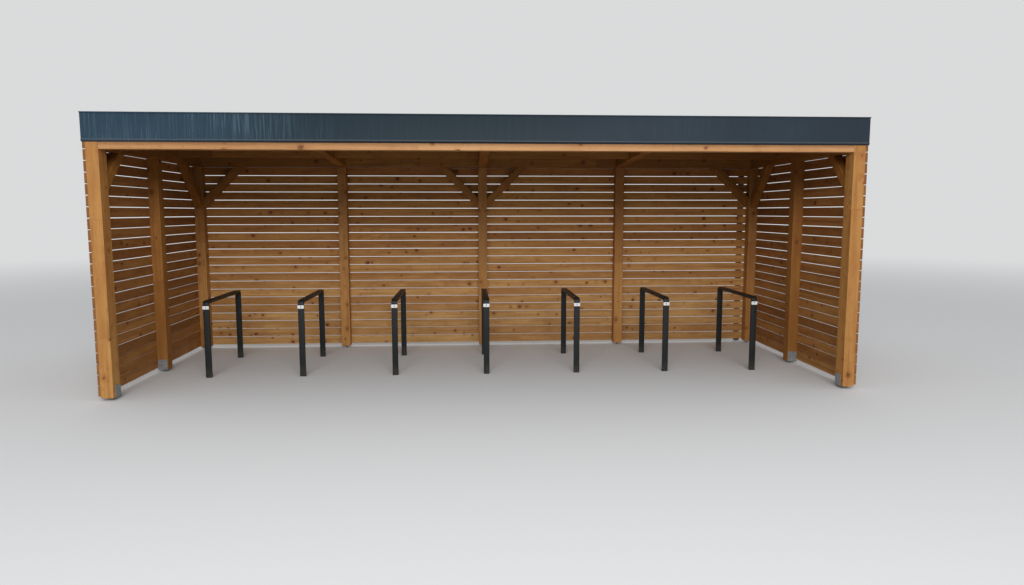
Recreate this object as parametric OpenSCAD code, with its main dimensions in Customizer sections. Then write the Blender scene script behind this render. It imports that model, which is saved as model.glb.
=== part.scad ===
// Open-fronted bike shelter: a timber frame with slatted back and ends,
// a sheet roof that falls to the back behind a folded metal fascia,
// and a row of bent tube hoops to lean bikes on.
// Origin: on the ground, in the middle of the outline. The open front faces -Y.

/* [Timber frame] */
// Length over the outer faces of the corner posts
frame_length = 6976; // [5600:10:9000]
// Depth from the front face of the front posts to the rear face of the rear posts
frame_depth = 2570; // [2300:10:3200]
// Height of the beams' underside above the ground
head_height = 2236; // [2000:1:2600]
// Width of every post along the shelter
post_width = 110; // [90:5:140]
// Depth of the rear and end posts, front to back
post_depth = 115; // [90:5:140]
// Depth of the two front posts, front to back
front_post_depth = 145; // [120:5:180]
// Distance of the end posts' front face behind the front posts' front face
end_post_setback = 1200; // [900:10:1400]
// Clear height of the post ends above the ground
post_lift = 27; // [15:1:60]
// Width of the front and rear beams
beam_width = 110; // [90:5:115]
// Height of the front beam
front_beam_height = 264; // [240:2:320]

/* [Knee braces] */
// Side of the square braces
brace_width = 90; // [60:5:110]
// Distance that the braces of the rear posts reach along the beam
brace_run = 495; // [300:5:600]
// Distance that the braces of the rear posts reach down the post
brace_drop = 500; // [300:5:600]
// Distance that the shorter braces behind the front posts reach along the beam
front_brace_run = 380; // [300:5:600]
// Distance that the shorter braces behind the front posts reach down the post
front_brace_drop = 375; // [300:5:600]

/* [Roof structure] */
// Fall of the roof from front to back, in degrees
roof_pitch = 2.8; // [1:0.1:3.2]
// Height of the rafters' underside above the rear beam's underside, at the rear beam
rafter_lift = 14; // [0:1:30]
// Width of the rafters
rafter_width = 100; // [60:5:120]
// Height of the purlins
purlin_height = 115; // [80:5:125]
// Width of the purlins
purlin_width = 60; // [40:5:80]
// Spacing of the purlins from the front of the frame
purlin_spacing = 880; // [700:10:1000]

/* [Roof covering and edge] */
// Spacing of the ribs of the roof sheet
rib_pitch = 207; // [150:1:333]
// Height of the ribs of the roof sheet
rib_height = 35; // [18:1:45]
// Thickness of the roof sheet
roof_sheet_thickness = 1; // [0.8:0.1:2]
// Reach of the roof sheet over the gutter
eaves_reach = 60; // [40:5:90]
// Height of the fascia's face
fascia_height = 254; // [230:2:300]
// Lap of the fascia over the uppermost slats
fascia_lap = 36; // [20:2:60]
// Thickness of the folded fascia sheet
fascia_sheet = 2; // [1:0.5:4]
// Thickness of the board behind the front fascia
front_board = 18; // [12:1:30]
// Width of the cap that turns in over the roof
coping_width = 70; // [50:5:120]
// Depth of the cap's inner downturn
coping_drop = 12; // [6:1:15]
// Width of the gutter behind the rear wall
gutter_width = 114; // [100:2:150]
// Height of the gutter
gutter_height = 130; // [80:5:150]
// Thickness of the gutter and downpipe sheet
gutter_sheet = 2; // [1:0.5:3]
// Outer diameter of the downpipe
downpipe_diameter = 75; // [60:1:85]
// Distance of the downpipe's middle from the frame's right end
downpipe_inset = 153; // [100:1:400]
// Height of the downpipe's open end above the ground
downpipe_lift = 15; // [10:1:150]

/* [Slats] */
// Height of one slat
slat_height = 92; // [60:1:120]
// Gap wanted between slats; it is evened out so that they fill the wall
slat_gap = 8; // [5:1:20]
// Thickness of the slats
slat_thickness = 22; // [18:1:30]
// Height of the lowest slat's underside above the ground
slat_start = 44; // [30:1:100]
// Gap where two lengths of rear slat meet on the middle post
slat_joint = 2; // [1:1:6]

/* [Post feet] */
// Thickness of the galvanised plates
foot_plate = 5; // [3:1:8]
// Width of the galvanised plates
foot_plate_width = 96; // [60:2:110]
// Height of the upright plates' upper edge above the ground
foot_plate_height = 135; // [100:5:200]
// Distance of the front posts' plates behind the posts' front face
foot_plate_setback = 40; // [5:1:60]
// Diameter of the stems under the posts
stem_diameter = 20; // [12:1:24]
// Side of the square plates under the rear posts
rear_plate = 80; // [60:5:100]

/* [Bike hoops] */
// Distance of the outer hoops' middle from the end posts
hoop_end_gap = 528; // [400:1:700]
// Height of a hoop
hoop_height = 795; // [650:5:900]
// Length of a hoop, front to back
hoop_length = 1065; // [800:5:1200]
// Distance of the hoops behind the front posts' front face
hoop_setback = 888; // [600:1:900]
// Width of the hoop tube along the shelter
hoop_tube_width = 60; // [40:1:80]
// Thickness of the hoop tube in the plane of the hoop
hoop_tube_depth = 30; // [20:1:40]
// Wall of the hoop tube
hoop_tube_wall = 3; // [2:0.5:5]
// Inner radius of the hoop's bends
hoop_bend = 12; // [5:1:60]
// Width of the number plates
plate_width = 64; // [40:1:80]
// Height of the number plates
plate_height = 34; // [30:1:60]
// Thickness of the number plates
plate_thickness = 2; // [1:0.5:4]
// Distance of a number plate's upper edge below the hoop's top
plate_drop = 52; // [20:1:200]

/* [Hidden] */
$fn = 48;
rear_bays = 4;
hoop_count = 7;
roof_clearance = 4;
fascia_reach = front_board + fascia_sheet;
wall_rear = frame_depth + slat_thickness;
outline_depth = fascia_reach + wall_rear + gutter_width + fascia_sheet;
// The front posts' front face lies this far from the middle of the outline
front_y = fascia_reach - outline_depth / 2;
half_length = frame_length / 2;
half_wall = half_length + slat_thickness;
half_outline = half_wall + fascia_sheet;
roof_slope = tan(roof_pitch);
roof_front_height = head_height + front_beam_height;
fascia_top = roof_front_height + rib_height + roof_sheet_thickness + roof_clearance + coping_drop;
beam_front_y = beam_width;
beam_rear_y = frame_depth - beam_width;
rear_post_pitch = (frame_length - post_width) / rear_bays;
rear_post_y = frame_depth - post_depth;
fascia_bottom = fascia_top - fascia_height;
board_gap = 2;
slat_top = fascia_bottom + fascia_lap;
slat_count = round((slat_top - slat_start + slat_gap) / (slat_height + slat_gap));
slat_step = (slat_top - slat_height - slat_start) / (slat_count - 1);
rafter_height = roof_height(beam_rear_y) - head_height - rafter_lift;
gutter_top = roof_height(wall_rear) - roof_clearance;
gutter_bottom = gutter_top - gutter_height;
gutter_rear = wall_rear + gutter_width;
downpipe_x = half_length - downpipe_inset;
downpipe_y = wall_rear + gutter_width / 2;
clip_heights = [500, 1900];
clip_height = 25;
clip_thickness = 3;
sheet_side_gap = 4;
hoop_centre = (hoop_count - 1) / 2;
hoop_spacing = (frame_length - 2 * post_width - 2 * hoop_end_gap) / (hoop_count - 1);
steel = "#3b4248";
zinc = "#9aa0a4";
pine = "#c18a55";
pine_dark = "#a06f42";
anthracite = "#3c4a56";

// Underside of the roof sheet at a distance y behind the front posts' front face
function roof_height(y) = roof_front_height - y * roof_slope;
function rear_post_x(i) = -half_length + post_width / 2 + i * rear_post_pitch;
function hoop_x(i) = (i - hoop_centre) * hoop_spacing;

// A bar along X with an outline drawn as [y, z] points
module bar_along_x(x0, x1, outline) {
    translate([x0, front_y, 0])
        rotate([90, 0, 90])
            linear_extrude(x1 - x0)
                polygon(outline);
}

// A bar along Y with an outline drawn as [x, z] points
module bar_along_y(y0, y1, outline) {
    translate([0, front_y + y1, 0])
        rotate([90, 0, 0])
            linear_extrude(y1 - y0)
                polygon(outline);
}

// A box given by its two far corners, measured from the front posts' front face
module box(from, to) {
    translate([from[0], front_y + from[1], from[2]])
        cube(to - from);
}

module front_post(side) {
    outer = side * half_length;
    inner = side * (half_length - post_width);
    difference() {
        box(
            [min(outer, inner), 0, post_lift],
            [max(outer, inner), front_post_depth, roof_height(front_post_depth)]
        );
        box(
            [outer - foot_plate, foot_plate_setback, 0],
            [outer + foot_plate, foot_plate_setback + foot_plate_width, foot_plate_height]
        );
    }
}

module end_post(side) {
    outer = side * half_length;
    inner = side * (half_length - post_width);
    box(
        [min(outer, inner), end_post_setback, post_lift],
        [max(outer, inner), end_post_setback + post_depth, head_height]
    );
}

module rear_post(i) {
    x = rear_post_x(i);
    box([x - post_width / 2, rear_post_y, post_lift], [x + post_width / 2, frame_depth, head_height]);
}

// A stem from the ground to a plate under a post
module stem(x, y) {
    translate([x, front_y + y, 0])
        cylinder(d = stem_diameter, h = post_lift - foot_plate / 2);
}

// A shoe under a front post, with its upright plates on the post's two end faces
module front_foot(side) {
    low_y = foot_plate_setback;
    high_y = foot_plate_setback + foot_plate_width;
    outer = side * half_length;
    inner = side * (half_length - post_width);
    face = side * foot_plate;
    stem(side * (half_length - post_width / 2), (low_y + high_y) / 2);
    box([min(outer, inner), low_y, post_lift - foot_plate], [max(outer, inner), high_y, post_lift]);
    for (x = [outer, inner])
        box(
            [min(x, x - face), low_y, post_lift - foot_plate],
            [max(x, x - face), high_y, foot_plate_height]
        );
}

// A shoe under an end post, with its upright plates on the post's front and rear faces
module end_foot(side) {
    middle = side * (half_length - post_width / 2);
    reach = foot_plate_width / 2;
    bottom = post_lift - foot_plate;
    stem(middle, end_post_setback + post_depth / 2);
    box(
        [middle - reach, end_post_setback - foot_plate, bottom],
        [middle + reach, end_post_setback + post_depth + foot_plate, post_lift]
    );
    for (y = [end_post_setback - foot_plate, end_post_setback + post_depth])
        box([middle - reach, y, bottom], [middle + reach, y + foot_plate, foot_plate_height]);
}

// A stem with a square plate under a rear post
module rear_foot(i) {
    x = rear_post_x(i);
    y = rear_post_y + post_depth / 2;
    reach = rear_plate / 2;
    stem(x, y);
    box([x - reach, y - reach, post_lift - foot_plate], [x + reach, y + reach, post_lift]);
}

// The front beam spans between the front posts, flush with their front faces
module front_beam() {
    color(pine)
        bar_along_x(-half_length + post_width, half_length - post_width, [
            [0, head_height], [beam_width, head_height],
            [beam_width, roof_height(beam_width)], [0, roof_height(0)]
        ]);
}

module rear_beam() {
    color(pine_dark)
        bar_along_x(-half_length + post_width, half_length - post_width, [
            [beam_rear_y, head_height], [frame_depth, head_height],
            [frame_depth, roof_height(frame_depth)], [beam_rear_y, roof_height(beam_rear_y)]
        ]);
}

// An end beam is level underneath and cut to the roof's fall on top
module end_beam(side) {
    outer = side * half_length;
    inner = side * (half_length - post_width);
    color(pine_dark)
        bar_along_x(min(outer, inner), max(outer, inner), [
            [front_post_depth, head_height], [frame_depth, head_height],
            [frame_depth, roof_height(frame_depth)], [front_post_depth, roof_height(front_post_depth)]
        ]);
}

module rafter(i) {
    x = rear_post_x(i);
    color(pine_dark)
        bar_along_x(x - rafter_width / 2, x + rafter_width / 2, [
            [beam_front_y, roof_height(beam_front_y) - rafter_height],
            [beam_rear_y, roof_height(beam_rear_y) - rafter_height],
            [beam_rear_y, roof_height(beam_rear_y)],
            [beam_front_y, roof_height(beam_front_y)]
        ]);
}

// One row of purlins, let in between the end beams and the rafters
module purlin(row) {
    y0 = row * purlin_spacing - purlin_width / 2;
    y1 = y0 + purlin_width;
    for (bay = [0 : rear_bays - 1]) {
        start = bay == 0 ? -half_length + post_width : rear_post_x(bay) + rafter_width / 2;
        end = bay == rear_bays - 1 ? half_length - post_width : rear_post_x(bay + 1) - rafter_width / 2;
        color(pine_dark)
            bar_along_x(start, end, [
                [y0, roof_height(y0) - purlin_height], [y1, roof_height(y1) - purlin_height],
                [y1, roof_height(y1)], [y0, roof_height(y0)]
            ]);
    }
}

// Outline of a knee brace in the corner between a post's face at u and the beam above
function brace_outline(u, direction, run, drop) =
    let (angle = atan2(drop, run))
    let (along_beam = brace_width / sin(angle), down_post = brace_width / cos(angle))
    [
        [u, head_height - drop],
        [u + direction * run, head_height],
        [u + direction * (run - along_beam), head_height],
        [u, head_height - drop + down_post]
    ];

// The two braces of an end wall: a shorter one behind the front post, one before the rear post
module end_braces(side) {
    middle = side * (half_length - post_width / 2);
    front_outline = brace_outline(front_post_depth, 1, front_brace_run, front_brace_drop);
    rear_outline = brace_outline(rear_post_y, -1, brace_run, brace_drop);
    for (outline = [front_outline, rear_outline])
        bar_along_x(middle - brace_width / 2, middle + brace_width / 2, outline);
}

// A brace in the rear wall, to one side of a rear post
module rear_brace(i, direction) {
    middle = rear_post_y + post_depth / 2;
    bar_along_y(
        middle - brace_width / 2, middle + brace_width / 2,
        brace_outline(rear_post_x(i) + direction * post_width / 2, direction, brace_run, brace_drop)
    );
}

// The rear corner posts and the middle one are braced; the two between them are not
module rear_braces() {
    color(pine_dark) {
        rear_brace(0, 1);
        rear_brace(rear_bays / 2, -1);
        rear_brace(rear_bays / 2, 1);
        rear_brace(rear_bays, -1);
    }
}

// Half of the rear wall: the slats run from a corner to the middle post
module rear_slats(side) {
    x0 = side * slat_joint / 2;
    x1 = side * half_wall;
    for (i = [0 : slat_count - 1]) {
        z = slat_start + i * slat_step;
        box([min(x0, x1), frame_depth, z], [max(x0, x1), wall_rear, z + slat_height]);
    }
}

module end_slats(side) {
    inner = side * half_length;
    outer = side * half_wall;
    for (i = [0 : slat_count - 1]) {
        z = slat_start + i * slat_step;
        box([min(inner, outer), 0, z], [max(inner, outer), frame_depth, z + slat_height]);
    }
}

// Trapezoidal sheet whose ribs run down the fall
module roof_sheet() {
    half_sheet = half_length - sheet_side_gap;
    rib_count = round(2 * half_sheet / rib_pitch);
    pitch = 2 * half_sheet / rib_count;
    flank = rib_height * 0.55;
    foot = pitch * 0.34;
    crown = pitch - foot - 2 * flank;
    lower = [for (i = [0 : rib_count - 1]) let (x = -half_sheet + i * pitch) each [
        [x, 0],
        [x + foot / 2, 0],
        [x + foot / 2 + flank, rib_height],
        [x + foot / 2 + flank + crown, rib_height],
        [x + foot / 2 + 2 * flank + crown, 0]
    ]];
    closed = concat(lower, [[half_sheet, 0]]);
    upper = [for (i = [len(closed) - 1 : -1 : 0]) closed[i] + [0, roof_sheet_thickness]];
    run = (wall_rear + eaves_reach) / cos(roof_pitch);
    color(anthracite)
        translate([0, front_y, roof_front_height])
            rotate([-roof_pitch, 0, 0])
                translate([0, run, 0])
                    rotate([90, 0, 0])
                        linear_extrude(run)
                            polygon(concat(closed, upper));
}

// Board that carries the front fascia
module front_edge_board() {
    color(pine)
        box(
            [-half_wall, -front_board, fascia_bottom + fascia_sheet],
            [half_wall, 0, fascia_top - fascia_sheet]
        );
}

// Boards above the end slats that carry the end fascias
module end_edge_boards() {
    for (side = [-1, 1])
        color(pine)
            box(
                [min(side * half_length, side * half_wall), 0, slat_top + board_gap],
                [max(side * half_length, side * half_wall), gutter_rear, fascia_top - fascia_sheet]
            );
}

// Front fascia in section: face, drip below, cap above and a short downturn inside
front_section = [
    [0, fascia_bottom],
    [fascia_reach - fascia_sheet, fascia_bottom],
    [fascia_reach - fascia_sheet, fascia_bottom + fascia_sheet],
    [fascia_sheet, fascia_bottom + fascia_sheet],
    [fascia_sheet, fascia_top - fascia_sheet],
    [coping_width - fascia_sheet, fascia_top - fascia_sheet],
    [coping_width - fascia_sheet, fascia_top - coping_drop],
    [coping_width, fascia_top - coping_drop],
    [coping_width, fascia_top],
    [0, fascia_top]
];

// End fascia in section: it laps over the uppermost slat, so it has no drip
end_section = [
    [0, fascia_bottom],
    [fascia_sheet, fascia_bottom],
    [fascia_sheet, fascia_top - fascia_sheet],
    [coping_width - fascia_sheet, fascia_top - fascia_sheet],
    [coping_width - fascia_sheet, fascia_top - coping_drop],
    [coping_width, fascia_top - coping_drop],
    [coping_width, fascia_top],
    [0, fascia_top]
];

// The front and end lengths meet at a mitre on each front corner
module front_fascia() {
    mitre = 2 * coping_width;
    color(anthracite)
        intersection() {
            translate([-half_outline, front_y - fascia_reach, 0])
                rotate([90, 0, 90])
                    linear_extrude(2 * half_outline)
                        polygon(front_section);
            translate([0, front_y - fascia_reach, fascia_bottom - 1])
                linear_extrude(fascia_height + 2)
                    polygon([
                        [-half_outline, 0], [half_outline, 0],
                        [half_outline - mitre, mitre], [-half_outline + mitre, mitre]
                    ]);
        }
}

module end_fascia(side) {
    mitre = 2 * coping_width;
    section = [for (p = end_section) [side * (half_outline - p[0]), p[1]]];
    color(anthracite)
        intersection() {
            bar_along_y(-fascia_reach, outline_depth - fascia_reach, section);
            translate([0, front_y - fascia_reach, fascia_bottom - 1])
                linear_extrude(fascia_height + 2)
                    polygon([
                        [side * half_outline, 0], [side * half_outline, outline_depth],
                        [side * (half_outline - mitre), outline_depth], [side * (half_outline - mitre), mitre]
                    ]);
        }
}

// Open box gutter with closed ends and an outlet over the downpipe
module gutter() {
    color(anthracite)
        difference() {
            box([-half_length, wall_rear, gutter_bottom], [half_length, gutter_rear, gutter_top]);
            box(
                [-half_length + gutter_sheet, wall_rear + gutter_sheet, gutter_bottom + gutter_sheet],
                [half_length - gutter_sheet, gutter_rear - gutter_sheet, gutter_top + 1]
            );
            translate([downpipe_x, front_y + downpipe_y, gutter_bottom - 1])
                cylinder(d = downpipe_diameter - 2 * gutter_sheet, h = gutter_sheet + 2);
        }
}

module downpipe() {
    color(anthracite)
        translate([downpipe_x, front_y + downpipe_y, downpipe_lift])
            difference() {
                cylinder(d = downpipe_diameter, h = gutter_bottom - downpipe_lift);
                translate([0, 0, -1])
                    cylinder(d = downpipe_diameter - 2 * gutter_sheet, h = gutter_bottom - downpipe_lift + 2);
            }
}

// Bands round the downpipe with a stub to the slats
module downpipe_clips() {
    outer = downpipe_diameter + 2 * clip_thickness;
    for (z = clip_heights)
        color(anthracite)
            translate([downpipe_x, front_y + downpipe_y, z])
                difference() {
                    union() {
                        cylinder(d = outer, h = clip_height);
                        translate([-clip_height / 2, -gutter_width / 2, 0])
                            cube([clip_height, gutter_width / 2 - downpipe_diameter / 4, clip_height]);
                    }
                    translate([0, 0, -1])
                        cylinder(d = downpipe_diameter, h = clip_height + 2);
                }
}

// Outline of a hoop seen from its side; inset by the tube's wall and run on below, it is the hollow
module hoop_outline(inset, below) {
    difference() {
        translate([0, -below])
            arch(
                hoop_length - 2 * inset,
                hoop_height - inset + below,
                hoop_bend + hoop_tube_depth - inset
            );
        translate([0, -below - 1])
            arch(
                hoop_length - 2 * hoop_tube_depth + 2 * inset,
                hoop_height - hoop_tube_depth + inset + below + 1,
                hoop_bend + inset
            );
    }
}

// A rectangle standing on y = 0 whose two upper corners are round
module arch(length, height, radius) {
    translate([-length / 2, 0])
        square([length, height - radius]);
    translate([-length / 2 + radius, 0])
        square([length - 2 * radius, height]);
    for (side = [-1, 1])
        translate([side * (length / 2 - radius), height - radius])
            circle(r = radius);
}

module hoop(i) {
    hollow_width = hoop_tube_width - 2 * hoop_tube_wall;
    color(steel)
        translate([hoop_x(i), front_y + hoop_setback + hoop_length / 2, 0])
            rotate([90, 0, 90])
                difference() {
                    translate([0, 0, -hoop_tube_width / 2])
                        linear_extrude(hoop_tube_width)
                            hoop_outline(0, 0);
                    translate([0, 0, -hollow_width / 2])
                        linear_extrude(hollow_width)
                            hoop_outline(hoop_tube_wall, 1);
                }
}

module number_plates() {
    for (i = [0 : hoop_count - 1])
        color("white")
            box(
                [hoop_x(i) - plate_width / 2, hoop_setback - plate_thickness,
                    hoop_height - plate_drop - plate_height],
                [hoop_x(i) + plate_width / 2, hoop_setback, hoop_height - plate_drop]
            );
}

color(pine) front_post(-1);  // front_post_left
color(pine) front_post(1);  // front_post_right
color(pine) end_post(-1);  // end_post_left
color(pine) end_post(1);  // end_post_right
color(pine) rear_post(0);  // rear_post_1
color(pine) rear_post(1);  // rear_post_2
color(pine) rear_post(2);  // rear_post_3
color(pine) rear_post(3);  // rear_post_4
color(pine) rear_post(4);  // rear_post_5
color(zinc) { front_foot(-1); front_foot(1); }  // front_post_feet
color(zinc) { end_foot(-1); end_foot(1); }  // end_post_feet
color(zinc) for (i = [0 : rear_bays]) rear_foot(i);  // rear_post_feet
front_beam();
rear_beam();
end_beam(-1);  // left_beam
end_beam(1);  // right_beam
rafter(1);  // rafter_1
rafter(2);  // rafter_2
rafter(3);  // rafter_3
purlin(1);  // front_purlin
purlin(2);  // rear_purlin
color(pine_dark) end_braces(-1);  // left_braces
color(pine_dark) end_braces(1);  // right_braces
rear_braces();
color(pine) end_slats(-1);  // left_slats
color(pine) end_slats(1);  // right_slats
color(pine) rear_slats(-1);  // rear_slats_left
color(pine) rear_slats(1);  // rear_slats_right
roof_sheet();
front_edge_board();
end_edge_boards();
front_fascia();
end_fascia(-1);  // left_fascia
end_fascia(1);  // right_fascia
gutter();
downpipe();
downpipe_clips();
hoop(0);  // hoop_1
hoop(1);  // hoop_2
hoop(2);  // hoop_3
hoop(3);  // hoop_4
hoop(4);  // hoop_5
hoop(5);  // hoop_6
hoop(6);  // hoop_7
number_plates();
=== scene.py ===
import math
import random

import bpy
import numpy as np
from mathutils import Matrix, Vector


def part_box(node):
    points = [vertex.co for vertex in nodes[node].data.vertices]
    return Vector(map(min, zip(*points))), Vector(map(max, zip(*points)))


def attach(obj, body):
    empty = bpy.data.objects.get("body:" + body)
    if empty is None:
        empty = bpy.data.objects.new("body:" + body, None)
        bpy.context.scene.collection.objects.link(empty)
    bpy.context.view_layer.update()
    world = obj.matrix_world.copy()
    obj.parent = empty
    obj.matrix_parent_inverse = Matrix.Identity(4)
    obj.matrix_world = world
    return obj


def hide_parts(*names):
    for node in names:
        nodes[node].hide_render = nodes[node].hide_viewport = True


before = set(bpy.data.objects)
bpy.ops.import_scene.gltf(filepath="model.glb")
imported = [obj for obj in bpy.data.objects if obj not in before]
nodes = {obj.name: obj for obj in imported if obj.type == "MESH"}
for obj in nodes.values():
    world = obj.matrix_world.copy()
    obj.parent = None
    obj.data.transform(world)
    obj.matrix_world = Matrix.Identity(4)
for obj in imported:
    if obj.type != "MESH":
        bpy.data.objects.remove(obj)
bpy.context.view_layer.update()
dice = random.Random(41)


# picking and placing

def useOnly(piece):
    if bpy.context.mode != "OBJECT":
        bpy.ops.object.mode_set(mode="OBJECT")
    bpy.ops.object.select_all(action="DESELECT")
    piece.select_set(True)
    bpy.context.view_layer.objects.active = piece


def applyPlace(piece):                        # the place goes into the mesh
    useOnly(piece)
    bpy.ops.object.transform_apply(location=True, rotation=True, scale=True)


def openEdit(piece, faceTest=None, edgeTest=None):  # with no test everything is picked
    useOnly(piece)
    mesh = piece.data
    for group in (mesh.vertices, mesh.edges, mesh.polygons):
        group.foreach_set("select", [False] * len(group))
    if edgeTest:
        bpy.context.tool_settings.mesh_select_mode = (False, True, False)
        for edge in mesh.edges:
            ends = [mesh.vertices[i].co for i in edge.vertices]
            edge.select = bool(edgeTest(ends[0], ends[1]))
    else:
        bpy.context.tool_settings.mesh_select_mode = (False, False, True)
        if faceTest:
            for face in mesh.polygons:
                face.select = bool(faceTest(face.center, face.normal))
    bpy.ops.object.mode_set(mode="EDIT")
    if not (faceTest or edgeTest):
        bpy.ops.mesh.select_all(action="SELECT")


def closeEdit():
    bpy.ops.object.mode_set(mode="OBJECT")


def finishWith(piece, kind, **settings):      # a modifier, applied at once
    useOnly(piece)
    modifier = piece.modifiers.new(kind.title(), kind)
    for key, value in settings.items():
        setattr(modifier, key, value)
    bpy.ops.object.modifier_apply(modifier=modifier.name)


def chamfer(piece, width, segments=2, angle=40):
    finishWith(piece, "BEVEL", width=width, segments=segments, limit_method="ANGLE",
               angle_limit=math.radians(angle), harden_normals=False)


def added(name, primitive, **settings):       # a new object; everything else is deselected first
    bpy.ops.object.select_all(action="DESELECT")
    primitive(**settings)
    piece = bpy.context.object
    piece.name = name
    return piece


def block(name, low, high):
    low, high = Vector(low), Vector(high)
    piece = added(name, bpy.ops.mesh.primitive_cube_add, size=1, location=(low + high) / 2)
    piece.scale = high - low
    applyPlace(piece)
    return piece


def rod(name, centre, radius, depth, axis="Z", sides=16):
    turn = (0, math.pi / 2, 0) if axis == "X" else (0, 0, 0)
    piece = added(name, bpy.ops.mesh.primitive_cylinder_add, vertices=sides, radius=radius, depth=depth,
                  location=centre, rotation=turn)
    applyPlace(piece)
    return piece


def extrude(shift):
    bpy.ops.mesh.extrude_region_move(TRANSFORM_OT_translate={"value": shift})


def twin(piece, shift=(0, 0, 0), facing=(0, 0, 1)):  # a copy, turned from +Z to where it faces
    other = piece.copy()
    other.data = piece.data.copy()
    turn = Vector((0, 0, 1)).rotation_difference(Vector(facing)).to_matrix().to_4x4()
    other.data.transform(Matrix.Translation(shift) @ turn)
    bpy.context.scene.collection.objects.link(other)
    return other


def drop(*pieces):
    for piece in pieces:
        bpy.data.objects.remove(piece)


def joined(name, pieces):
    useOnly(pieces[0])
    for other in pieces[1:]:
        other.select_set(True)
    if len(pieces) > 1:
        bpy.ops.object.join()
    piece = bpy.context.object
    piece.name = name
    return piece


def cleaned(piece, reach=1e-6):               # doubles merged, slivers dissolved, faces turned outwards
    openEdit(piece)
    bpy.ops.mesh.remove_doubles(threshold=reach)
    bpy.ops.mesh.dissolve_degenerate(threshold=reach)
    bpy.ops.mesh.normals_make_consistent(inside=False)
    closeEdit()


def smooth(piece, angle=30):
    useOnly(piece)
    bpy.ops.object.shade_smooth_by_angle(angle=math.radians(angle))


def addPiece(piece, material, slot, *replaced):
    piece.data.materials.clear()
    piece.data.materials.append(material)
    piece.data.name = piece.name
    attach(piece, "root")
    if replaced:
        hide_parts(*replaced)


def bentBar(name, wide, long, tall, thick, bend, steps=8):
    # flat bar bent to an arch that stands on z = 0, its width along X
    reach, rise = long / 2 - thick - bend, tall - thick - bend
    piece = added(name, bpy.ops.mesh.primitive_plane_add, size=1, location=(0, (thick - long) / 2, 0))
    piece.scale = (wide, thick, 1)
    applyPlace(piece)
    openEdit(piece)
    extrude((0, 0, rise))
    for y, onward in ((-reach, (0, 2 * reach, 0)), (reach, (0, 0, -rise))):
        bpy.ops.mesh.spin(steps=steps, angle=math.radians(90), axis=(1, 0, 0), center=(0, y, rise))
        extrude(onward)
    closeEdit()
    cleaned(piece, 1e-5)
    return piece


# wood grain: every board carries its own coordinates, so that no two look alike

grainShift = (5, 60)

def markGrain(piece, along, across):
    along, across = Vector(along).normalized(), Vector(across).normalized()
    through = along.cross(across)
    mesh = piece.data
    count = len(mesh.vertices)
    points = np.empty(count * 3)
    mesh.vertices.foreach_get("co", points)
    points = points.reshape(-1, 3)
    local = (points - (points.min(0) + points.max(0)) / 2) @ np.array([along, across, through]).T
    local[:, 0] += dice.uniform(*grainShift)
    seeds = np.tile([dice.random(), dice.random(), dice.random()], (count, 1))
    for label, values in (("grain", local), ("board", seeds), ("along", np.tile(along, (count, 1)))):
        if label in mesh.attributes:
            mesh.attributes.remove(mesh.attributes[label])
        layer = mesh.attributes.new(label, "FLOAT_VECTOR", "POINT")
        layer.data.foreach_set("vector", values.ravel())


# shader writing

class Flow:                                   # a socket that can stand in a sum
    def __init__(self, bench, socket):
        self.bench = bench
        self.socket = socket

    def sum(self, operation, first, second=None):
        inputs = {0: first} if second is None else {0: first, 1: second}
        return self.bench.node("ShaderNodeMath", {"operation": operation}, inputs)

    def __add__(self, other):
        return self.sum("ADD", self, other)

    def __radd__(self, other):
        return self.sum("ADD", other, self)

    def __sub__(self, other):
        return self.sum("SUBTRACT", self, other)

    def __rsub__(self, other):
        return self.sum("SUBTRACT", other, self)

    def __mul__(self, other):
        return self.sum("MULTIPLY", self, other)

    def __rmul__(self, other):
        return self.sum("MULTIPLY", other, self)

    def __truediv__(self, other):
        return self.sum("DIVIDE", self, other)

    def __rtruediv__(self, other):
        return self.sum("DIVIDE", other, self)

    def __abs__(self):
        return self.sum("ABSOLUTE", self)

    def __gt__(self, other):
        return self.sum("GREATER_THAN", self, other)

    def __lt__(self, other):
        return self.sum("LESS_THAN", self, other)

    def do(self, operation, other=None):
        return self.sum(operation, self, other)

    def span(self, low, high, toLow=0.0, toHigh=1.0):
        return self.bench.node("ShaderNodeMapRange", {"interpolation_type": "SMOOTHSTEP", "clamp": True},
                               {0: self, 1: low, 2: high, 3: toLow, 4: toHigh})


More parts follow.
